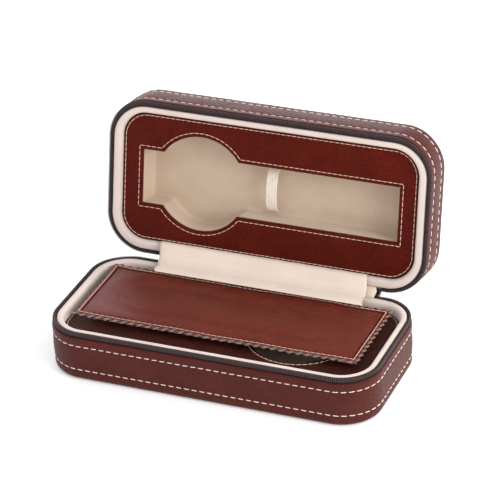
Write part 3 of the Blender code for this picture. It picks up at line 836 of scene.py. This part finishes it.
        flat, triangles = filled(outline, 3.5 * MM, below_wall)
        order = {n: last + n for n in range(len(outline))}
        for n in range(len(outline), len(flat)):
            x, y = flat[n]
            order[n] = len(points)
            swell = 0.5 * MM * (1 - math.exp(-below_wall(x, y) / (6 * MM)))
            level = self.well_floor - 0.08 * MM - swell
            points.append((x, y, level + wobble(x, y, 2, 14 * MM, 0.25 * MM)))
        faces += [tuple(order[n] for n in face) for face in triangles]

    def watch_loop(self):
        """An elastic band, ribbed along its length, that arches from one side of the slot to the other."""
        low, high = self.local_box("watch_loop")
        span, rise = high.y, high.z - low.z - 0.4 * MM
        foot = high.z
        ribs, across = 4, 25
        profile = []
        for n in range(across):
            share = n / (across - 1)
            edge = min(share, 1 - share) * (high.x - low.x)
            rib = 0.16 * MM * abs(math.sin(math.pi * ribs * share)) ** 0.7
            round_edge = 0.25 * MM * max(0.0, 1 - edge / (0.5 * MM)) ** 2
            profile.append((low.x + share * (high.x - low.x), rib - round_edge))
        under = [(x, -0.55 * MM) for x, _ in reversed(profile[1:-1:4])]
        section = profile + under
        points = []
        count = 37
        for n in range(count):
            turn = math.pi * n / (count - 1)
            y, up = -span * math.cos(turn), rise * math.sin(turn) ** 0.6
            climb = 0.6 * rise * math.cos(turn) * max(0.2, math.sin(turn)) ** -0.4
            tilt = math.atan2(climb, span * math.sin(turn) + 1e-6)
            normal_y, normal_z = -math.sin(tilt), math.cos(tilt)
            for x, out in section:
                points.append((x, (y + normal_y * out) * 0.985, foot - up - normal_z * out))
        faces = grid_faces(count, len(section), False, True)
        add_caps(faces, 0, len(section), count)
        made = add_object(self.node("elastic_loop"), points, faces, LOOP_CLOTH, matrix=self.matrix)
        self.finish_piece(made, "cream_fabric", "watch_loop")


def filled_panel(outlines, extra, edge, open_area):
    """Triangles over an insert panel: rings of points near its edges, a grid in between."""
    points, edges = boundary(outlines, extra)
    spacing = 3.0 * MM
    reach_x = max(p.x for p in points)
    reach_y = max(p.y for p in points)
    for i in range(int(-reach_x / spacing), int(reach_x / spacing) + 1):
        for j in range(int(-reach_y / spacing), int(reach_y / spacing) + 1):
            x, y = (i + 0.5 * (j % 2)) * spacing, j * spacing
            if open_area(x, y) > 0:
                points.append(Vector((x, y)))
    return triangles_within(points, edges, edge)


def paint(node, finish):
    """Gives a CAD node that stays in view its material."""
    made = frame["nodes"][node]
    made.data.materials.clear()
    made.data.materials.append(finish)


def half_matrices():
    """From half coordinates (x, y, depth) to the row frame, for the base and for the open lid."""
    hinge = JOINTS["lid_hinge"]
    axis = Vector(hinge["pos_m"])
    opened = math.radians(max(hinge["range_deg"]))
    rim = axis.z
    base = Matrix(((1, 0, 0, 0), (0, 1, 0, 0), (0, 0, -1, rim), (0, 0, 0, 1)))
    closed = Matrix(((1, 0, 0, 0), (0, 1, 0, 0), (0, 0, 1, rim), (0, 0, 0, 1)))
    swing = Matrix.Translation(axis) @ Matrix.Rotation(-opened, 4, "X") @ Matrix.Translation(-axis)
    return base, swing @ closed


BASE_MATRIX, LID_MATRIX = half_matrices()


# ---------------------------------------------------------------- spine and hinge lining


def smooth(points, steps):
    """Points along a Catmull-Rom curve through the points given."""
    ends = [Vector(p) for p in points]
    ends = [2 * ends[0] - ends[1], *ends, 2 * ends[-1] - ends[-2]]
    curve = []
    for a, b, c, d in zip(ends, ends[1:], ends[2:], ends[3:]):
        for n in range(steps):
            t = n / steps
            square, cube = 2 * a - 5 * b + 4 * c - d, 3 * b - a - 3 * c + d
            curve.append((2 * b + (c - a) * t + square * t**2 + cube * t**3) / 2)
    return curve + [ends[-2]]


def lid_point(inset, depth):
    """Row-frame Y and Z of a point in the open lid, given in mm from its rear face and its rim plane."""
    point = LID_MATRIX @ Vector((0, CASE_HALF[1] - inset * MM, depth * MM))
    return (point.y, point.z)


def fabric_strip(name, profile, low_x, high_x, thickness, finish, ripple, skew=None, trim=None):
    """A closed strip of fabric: a profile in Y and Z with thickness, carried along X, with soft ripples.

    skew(v) moves a point of the profile along X; trim(distance from the right end) is the share of the
    profile that is cut from each of its ends there.
    """
    curve = np.array([tuple(p) for p in profile])
    steps = np.linspace(0, 1, len(curve))
    columns = round((high_x - low_x) / (1.6 * MM))
    points = []
    for i in range(columns + 1):
        x = low_x + (high_x - low_x) * i / columns
        cut = trim(high_x - x) if trim else 0.0
        at = cut + steps * (1 - 2 * cut)
        line = [Vector((np.interp(v, steps, curve[:, 0]), np.interp(v, steps, curve[:, 1]))) for v in at]
        half = thickness / 2 * min(1.0, 0.55 + 0.45 * min(i, columns - i) / 2)
        upper, lower = [], []
        for n, (v, point) in enumerate(zip(at, line)):
            way = (line[min(n + 1, len(line) - 1)] - line[max(n - 1, 0)]).normalized()
            side = Vector((-way.y, way.x))
            moved = point + side * ripple(x, v)
            placed_x = x + (skew(v) if skew else 0.0)
            upper.append((placed_x, *(moved + side * half)))
            lower.append((placed_x, *(moved - side * half)))
        points += upper + lower[::-1]
    count = 2 * len(curve)
    faces = grid_faces(columns + 1, count, False, True)
    add_caps(faces, 0, count, columns + 1)
    return add_object(name, points, faces, finish)


LINING_FOLD = 0.0416


def spine_leather():
    """The strip of outer leather that joins the two halves behind."""
    hinge = Vector(JOINTS["lid_hinge"]["pos_m"])
    low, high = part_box("spine_leather")
    rear = CASE_HALF[1] + 0.75 * MM
    profile = smooth(
        [
            (rear + 0.1 * MM, low[2]), (rear, low[2] + 3 * MM), (rear, hinge.z - 3.4 * MM),
            (rear + 0.1 * MM, hinge.z - 1.6 * MM), (rear + 0.7 * MM, hinge.z - 0.5 * MM),
            lid_point(-0.8, 1.8), lid_point(-0.8, 4.2), lid_point(-0.7, 8.8),
        ],
        5,
    )
    made = fabric_strip(
        "spine_leather_strip", profile, low[0], high[0], 0.9 * MM, OUTER_LEATHER,
        lambda x, v: wobble(x, v, 1, 14 * MM, 0.10 * MM),
    )
    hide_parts("spine_leather")
    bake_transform(made)


def rounded_end(left):
    """The share cut from each edge of the lining, at a distance left from its rounded end."""
    return 0.42 * (1 - math.sqrt(max(0.0, 1 - max(0.0, 1 - left / (3.2 * MM)) ** 2)))


def spine_lining():
    """The lining over the gap between the two ledges, rounded off at its right end."""
    low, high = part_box("spine_lining")
    profile = smooth(
        [
            (0.0475, 0.0297), (0.0477, 0.0313), (0.0480, 0.0328), (0.0488, 0.0341), (0.0500, 0.0350),
            (0.0511, 0.0356), lid_point(1.8, 0.6), lid_point(2.3, 1.6),
            lid_point(2.3, 2.5),
        ],
        4,
    )
    made = fabric_strip(
        "spine_lining_strip", profile, low[0], high[0], 0.6 * MM, LINING_VELVET,
        lambda x, v: wobble(x, v, 3, 12 * MM, 0.15 * MM),
        trim=rounded_end,
    )
    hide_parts("spine_lining")
    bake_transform(made)


def hinge_lining():
    """The curtain of lining: from under the lid's panel, over both ledges, to a soft fold on the flap."""
    low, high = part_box("hinge_lining")
    profile = smooth(
        [
            lid_point(9.0, 2.9), lid_point(8.9, 0.8), lid_point(8.2, -0.6),
            (0.0508, 0.0412), (0.0491, 0.0388), (0.0474, 0.0367), (0.0442, 0.0353), (0.0402, 0.0347),
            (0.0369, 0.0345), (0.0350, 0.0341), (0.0344, 0.0334),
        ],
        5,
    )

    def ripple(x, v):
        hang = math.sin(math.pi * v)
        fold = wobble(x, 0, 5, 22 * MM, 0.9 * MM) * hang + wobble(x, v * 0.02, 9, 7 * MM, 0.16 * MM)
        return fold if v < 0.95 else fold * 0.4

    made = fabric_strip(
        "hinge_lining_curtain", profile, low[0], high[0], 0.7 * MM, LINING_VELVET, ripple,
        skew=lambda v: -0.8 * MM + 4.4 * MM * v,
    )
    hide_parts("hinge_lining")
    hem = made.copy()
    hem.data = made.data.copy()
    hem.name = "hinge_lining_hem"
    bpy.context.scene.collection.objects.link(hem)
    keep_faces(made, lambda centre: centre.y > LINING_FOLD)
    keep_faces(hem, lambda centre: centre.y <= LINING_FOLD)
    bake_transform(made)
    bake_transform(hem)


def keep_faces(made, wanted):
    """Cuts away the faces whose middle isn't wanted, and closes the cut."""
    def change(work):
        dropped = [face for face in work.faces if not wanted(face.calc_center_median())]
        bmesh.ops.delete(work, geom=dropped, context="FACES")
        bmesh.ops.holes_fill(work, edges=[edge for edge in work.edges if edge.is_boundary], sides=0)

    rework(made.data, change)


# ---------------------------------------------------------------- padded flap

FLAP_PINK_PITCH = 5.4 * MM
FLAP_PINK_DEPTH = 1.8 * MM
FLAP_STITCH = 3.0 * MM
FLAP_SEAM = 30.8 * MM
PILLOW_SEAM = FLAP_SEAM + 0.35 * MM
PILLOW_RISE = 2.3 * MM
PILLOW_LIMIT = 4.2 * MM
MARGIN_OFFSET = 0.30 * MM
MARGIN_THICKNESS = 0.45 * MM
UNDER_MARGIN_GROWTH = 0.35 * MM
FLAP_CORNER_INSET = 7.7 * MM
FLAP_LOW, FLAP_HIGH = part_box("divider_top_leather")


def flap_sides(inset=0.0):
    """The flap's left, right, front and rear, moved in."""
    return FLAP_LOW[0] + inset, FLAP_HIGH[0] - inset, FLAP_LOW[1] + inset, FLAP_HIGH[1] - inset


def flap_lift(x, y):
    """How the whole flap lies: curled up where its left end leans on the ledge, and in slight waves."""
    left, right, front, rear = flap_sides()
    curl = max(0.0, (left + 20 * MM - x) / (20 * MM))
    corner = max(0.0, (y - rear + 16 * MM) / (16 * MM))
    lift = 1.6 * MM * curl**2 * (0.55 + 0.45 * corner)
    return lift + wobble(x, y, 4, 38 * MM, 0.8 * MM) + wobble(x, y, 8, 14 * MM, 0.20 * MM)


def pillow_skin(columns=74, rows=25):
    """Two crowned faces that share their edge: the points, the quads, and the points on the seam."""
    x0, x1, y0, y1 = flap_sides(FLAP_STITCH - 0.5 * MM)
    points, index, faces = [], {}, []
    for side in (1, -1):
        for i in range(columns + 1):
            for j in range(rows + 1):
                if side < 0 and (i in (0, columns) or j in (0, rows)):
                    index[side, i, j] = index[1, i, j]
                    continue
                u, v = 2 * i / columns - 1, 2 * j / rows - 1
                rise = PILLOW_RISE * (1 - u**8) * (1 - v**4) * side
                index[side, i, j] = len(points)
                points.append((x0 + (x1 - x0) * i / columns, y0 + (y1 - y0) * j / rows, PILLOW_SEAM + rise))
        for i in range(columns):
            for j in range(rows):
                corners = ((i, j), (i + 1, j), (i + 1, j + 1), (i, j + 1))
                faces.append([index[side, *corner] for corner in corners][::side])
    shared = [n for (side, i, j), n in index.items() if side > 0 and (i in (0, columns) or j in (0, rows))]
    return points, faces, shared


def flap_pillow():
    """The stuffed part inside the stitching, inflated as cloth."""
    points, faces, seam = pillow_skin()
    made = add_object("flap_pillow", points, faces, FLAP_LEATHER)
    inflate(made, seam)
    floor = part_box("base_insert_leather")[1][2] + 0.35 * MM
    ceiling = FLAP_SEAM + PILLOW_LIMIT
    for vertex in made.data.vertices:
        x, y, z = vertex.co
        vertex.co.z = max(min(z, ceiling) + flap_lift(x, y), floor)
    relax = made.modifiers.new("relax", "SMOOTH")
    relax.factor, relax.iterations = 0.5, 8
    modifier = made.modifiers.new("smooth", "SUBSURF")
    modifier.levels = modifier.render_levels = 1
    apply_modifiers(made)
    shade(made.data, True)
    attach(made, "divider")
    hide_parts("divider_top_leather", "divider_under_leather", "divider_foam")


def inflate(made, pinned, frames=18):
    """Swells a closed skin as cloth under pressure, held at its seam, and keeps the result."""
    group = made.vertex_groups.new(name="seam")
    group.add(pinned, 1.0, "REPLACE")
    modifier = made.modifiers.new("cloth", "CLOTH")
    settings = modifier.settings
    settings.quality = 6
    settings.mass = 0.35
    settings.tension_stiffness = 22
    settings.compression_stiffness = 12
    settings.shear_stiffness = 6
    settings.bending_stiffness = 3.0
    settings.air_damping = 4
    settings.use_pressure = True
    settings.uniform_pressure_force = 2.4
    settings.vertex_group_mass = "seam"
    settings.effector_weights.gravity = 0
    modifier.collision_settings.use_collision = False
    scene = bpy.context.scene
    scene.frame_start, scene.frame_end = 1, frames
    modifier.point_cache.frame_start, modifier.point_cache.frame_end = 1, frames
    for step in range(1, frames + 1):
        scene.frame_set(step)
    apply_modifiers(made)
    scene.frame_set(1)
    made.vertex_groups.clear()


def apply_modifiers(made):
    graph = bpy.context.evaluated_depsgraph_get()
    evaluated = made.evaluated_get(graph)
    mesh = bpy.data.meshes.new_from_object(evaluated)
    made.modifiers.clear()
    made.data = mesh


def pinked_outline():
    """The flap's outline as the CAD has it: counterclockwise, zigzag, rounded where it meets the ledge."""
    left, right, front, rear = flap_sides()
    corners = [Vector((left, front)), Vector((right, front)), Vector((right, rear)), Vector((left, rear))]
    outline = []
    for start, end in zip(corners, corners[1:] + corners[:1]):
        side = end - start
        teeth = round(side.length / FLAP_PINK_PITCH)
        inward = Vector((-side.y, side.x)).normalized() * FLAP_PINK_DEPTH
        for n in range(teeth):
            outline.append(inside_ledge(start + side * (n / teeth)))
            outline.append(inside_ledge(start + side * ((n + 0.5) / teeth) + inward))
    return outline


def inside_ledge(point):
    """The point itself or, where a corner of the flap would meet the rounded ledge, the nearest free one."""
    bend = Vector((CASE_HALF[0] - CORNER_RADIUS, CASE_HALF[1] - CORNER_RADIUS))
    centre = Vector((math.copysign(bend.x, point.x), math.copysign(bend.y, point.y)))
    outward = point - centre
    reach = CORNER_RADIUS - FLAP_CORNER_INSET
    if abs(point.x) < bend.x or abs(point.y) < bend.y or outward.length <= reach:
        return point
    return centre + outward.normalized() * reach


def merge_close_points(work):
    bmesh.ops.remove_doubles(work, verts=work.verts, dist=0.02 * MM)
    bmesh.ops.dissolve_degenerate(work, edges=work.edges, dist=0.02 * MM)


def flap_margin(name, height, finish, grow):
    """One leather layer's flat margin, from the stitching out to its pinked edge."""
    left, right, front, rear = flap_sides()
    middle = Vector(((left + right) / 2, (front + rear) / 2))
    pinked = pinked_outline()
    outline = []
    for a, b in zip(pinked, pinked[1:] + pinked[:1]):
        outline += [p + (p - middle).normalized() * grow for p in (a, a.lerp(b, 0.5))]
    rings = [outline]
    for inset in (2.2 * MM, FLAP_STITCH, FLAP_STITCH + 0.9 * MM):
        left, right, front, rear = flap_sides(inset)
        rings.append([Vector((max(left, min(right, p.x)), max(front, min(rear, p.y)))) for p in outline])
    count = len(outline)
    points = []
    for sign in (1, -1):
        order = rings if sign > 0 else rings[::-1]
        for ring in order:
            for point in ring:
                z = FLAP_SEAM + height + sign * MARGIN_THICKNESS / 2 + flap_lift(point.x, point.y)
                curl = wobble(point.x, point.y, 6, 9 * MM, 0.22 * MM) if ring is rings[0] else 0.0
                points.append((point.x, point.y, z + curl))
    faces = grid_faces(2 * len(rings), count, True, True)
    made = add_object(name, points, faces, finish)
    made.data.materials.append(RAW_EDGE)
    for face in made.data.polygons[-count:]:
        face.material_index = 1
    rework(made.data, merge_close_points)
    shade(made.data, False)
    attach(made, "divider")


def flap_stitches():
    x0, x1, y0, y1 = flap_sides(FLAP_STITCH - 0.1 * MM)
    runs = [[(x0, y0), (x1, y0)], [(x1, y0), (x1, y1)], [(x1, y1), (x0, y1)], [(x0, y1), (x0, y0)]]
    places = []
    for run in runs:
        for x, y, ax, ay in along_run(run, PANEL_PITCH):
            along = Vector((ax, ay, 0))
            z = FLAP_SEAM + 0.62 * MM + flap_lift(x, y)
            places.append((Vector((x, y, z)), along, Vector((0, 0, 1))))
    made = stitches("flap_stitches", places, PANEL_STITCH, THREAD_RADIUS * 0.78, 0.16 * MM)
    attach(made, "divider")


def flap():
    flap_pillow()
    flap_margin("flap_upper_margin", MARGIN_OFFSET, FLAP_LEATHER, 0.0)
    # The lower margin takes the darker copy of the panel leather: painted shade under the upper margin.
    flap_margin("flap_lower_margin", -MARGIN_OFFSET, PAINTED_SHADE_LEATHER, UNDER_MARGIN_GROWTH)
    flap_stitches()


# ---------------------------------------------------------------- stage, light and camera


def stage():
    bpy.ops.mesh.primitive_plane_add(size=6, location=(0, 0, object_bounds()[0][2]))
    floor = bpy.context.object
    floor.name = "floor"
    finish = Finish("pale_floor")
    tone = finish.mix(finish.noise(3.0), rgb(0.93, 0.93, 0.93), rgb(0.95, 0.95, 0.95))
    white = rgb(1.0, 1.0, 1.0)
    finish.set(Emission_Color=white, Emission_Strength=0.2)
    floor.data.materials.append(finish.set(Base_Color=tone, Roughness=0.9, Specular_IOR_Level=0.1))
    floor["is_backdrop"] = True


def area_light(name, place, target, size, power, colour=(1, 1, 1)):
    light = bpy.data.lights.new(name, "AREA")
    light.shape = "SQUARE"
    light.size = size
    light.energy = power
    light.color = colour
    made = bpy.data.objects.new(name, light)
    made.location = place
    made.rotation_euler = (Vector(target) - Vector(place)).to_track_quat("-Z", "Y").to_euler()
    bpy.context.scene.collection.objects.link(made)


def lights():
    world = bpy.data.worlds.new("studio")
    bpy.context.scene.world = world
    world.use_nodes = True
    world.node_tree.nodes["Background"].inputs["Color"].default_value = (1, 1, 1, 1)
    world.node_tree.nodes["Background"].inputs["Strength"].default_value = 1.0
    area_light("key", (1.25, -0.50, 0.60), (0, 0.02, 0.05), 0.7, 13.0)
    area_light("rim", (0.8, 0.7, 1.0), (0, 0.04, 0.06), 0.8, 10.0)
    area_light("back", (-0.62, 1.30, 0.36), (0, 0.0, 0.05), 0.8, 5.0, (0.92, 0.94, 1.0))


def camera():
    """The photo's viewpoint, fitted to the case's rims."""
    made = bpy.data.cameras.new("camera")
    made.lens = 198.0
    made.sensor_width = 36.0
    made.clip_start = 0.05
    forward = Vector((-0.33843, 0.80391, -0.48907))
    right = Vector((0.92885, 0.36863, -0.03682))
    up = right.cross(forward).normalized()
    placed = Matrix((right, up, -forward)).transposed().to_4x4()
    placed.translation = Vector((0.57053, -1.32134, 0.88466))
    body = bpy.data.objects.new("camera", made)
    body.matrix_world = placed
    bpy.context.scene.collection.objects.link(body)
    bpy.context.scene.camera = body


bpy.context.scene.view_settings.view_transform = "Standard"
Half("base", BASE_MATRIX, 1).build()
Half("lid", LID_MATRIX, -1).build()
spine_leather()
spine_lining()
hinge_lining()
flap()
for pull_part in ("zip_slider", "zip_pull"):
    paint(pull_part, DARK_METAL)
stage()
lights()
camera()
